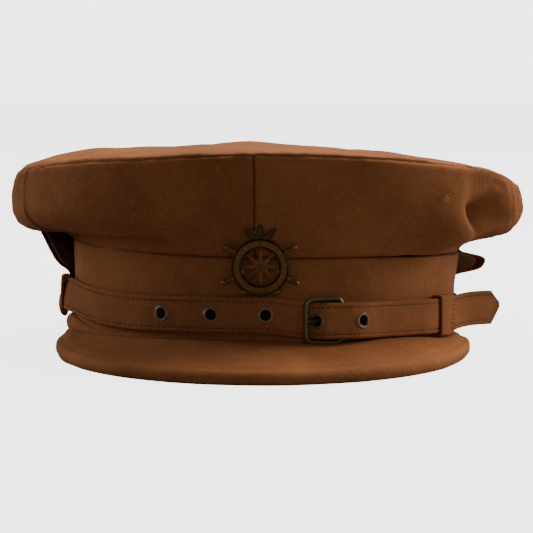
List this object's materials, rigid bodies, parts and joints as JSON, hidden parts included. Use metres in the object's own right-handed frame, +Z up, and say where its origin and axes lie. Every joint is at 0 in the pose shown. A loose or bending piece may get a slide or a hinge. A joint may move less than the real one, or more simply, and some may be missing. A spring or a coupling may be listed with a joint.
{
  "type": "military peaked cap",
  "caption": "Soft cloth peaked cap with a wide crown, stitched peak, buckled cloth chin strap, folded neck flap and a pierced metal badge.",
  "frame": {"origin": "on the surface the cap stands on, under the middle of its bounding box", "axes": "+Z up, -Y towards the front of the cap, +X towards the wearer's left; the cap rests on the edge of its peak and the rear of its rim, so its band leans back by about 4 degrees"},
  "size_m": [0.2644, 0.2844, 0.1059],
  "materials": {
    "drill_cloth": "twill weave, soft nap, faded on top",
    "worsted_cloth": "fine twill weave",
    "dark_cloth": "twill weave in shade",
    "lining_cloth": "glazed cotton lining",
    "buckram": "stiffened canvas",
    "sweat_leather": "polished by wear",
    "peak_board": "pressed board",
    "aged_brass": "aged, dull, rubbed at the edges",
    "dark_bronze": "browned, low sheen"
  },
  "bodies": {
    "cap": {"crown_top": "drill_cloth", "quarter_front_right": "drill_cloth", "quarter_front_left": "worsted_cloth", "quarter_rear_right": "drill_cloth", "quarter_rear_left": "worsted_cloth", "lining_top": "lining_cloth", "lining_side": "lining_cloth", "band_cloth": "worsted_cloth", "band_stiffener": "buckram", "sweatband": "sweat_leather", "sweatband_reed": "sweat_leather", "peak_top": "drill_cloth", "peak_board": "peak_board", "peak_under": "dark_cloth", "peak_welt": "drill_cloth", "neck_flap": "drill_cloth", "neck_flap_lining": "dark_cloth", "strap_long": "worsted_cloth", "strap_short": "worsted_cloth", "side_keeper": "worsted_cloth", "eyelet_1": "dark_bronze", "eyelet_2": "dark_bronze", "eyelet_3": "dark_bronze", "eyelet_4": "dark_bronze", "eyelet_5": "dark_bronze", "badge_plate": "dark_bronze", "badge_lugs": "aged_brass", "badge_pin": "aged_brass"},
    "frame": {"buckle_frame": "aged_brass"},
    "prong": {"buckle_prong": "aged_brass"},
    "keeper": {"strap_keeper": "worsted_cloth"},
    "button_left": {"side_button_left": "dark_bronze", "button_pin_left": "aged_brass"},
    "button_right": {"side_button_right": "dark_bronze", "button_pin_right": "aged_brass"}
  },
  "joints": [
    {"name": "buckle_frame_hinge", "type": "hinge", "parent": "cap", "child": "frame", "pos_m": [0.03579, -0.09525, 0.02369], "axis": [0, 0.0725, 0.9974], "range_deg": [0, 2.5]},
    {"name": "prong_hinge", "type": "hinge", "parent": "frame", "child": "prong", "pos_m": [0.03579, -0.09525, 0.02369], "axis": [0, 0.0725, 0.9974], "range_deg": [0, 3.5]},
    {"name": "keeper_slide", "type": "hinge", "parent": "cap", "child": "keeper", "pos_m": [-0.002, -0.00273, 0.01697], "axis": [0, 0.0725, 0.9974], "range_deg": [-3.5, 3.5]},
    {"name": "button_swivel_left", "type": "hinge", "parent": "cap", "child": "button_left", "pos_m": [0.09662, 0.00587, 0.01634], "axis": [0.9962, 0.0869, -0.0063], "range_deg": [-30, 30]},
    {"name": "button_swivel_right", "type": "hinge", "parent": "cap", "child": "button_right", "pos_m": [-0.10361, 0.00635, 0.01931], "axis": [-0.9962, 0.0869, -0.0063], "range_deg": [-30, 30]}
  ]
}
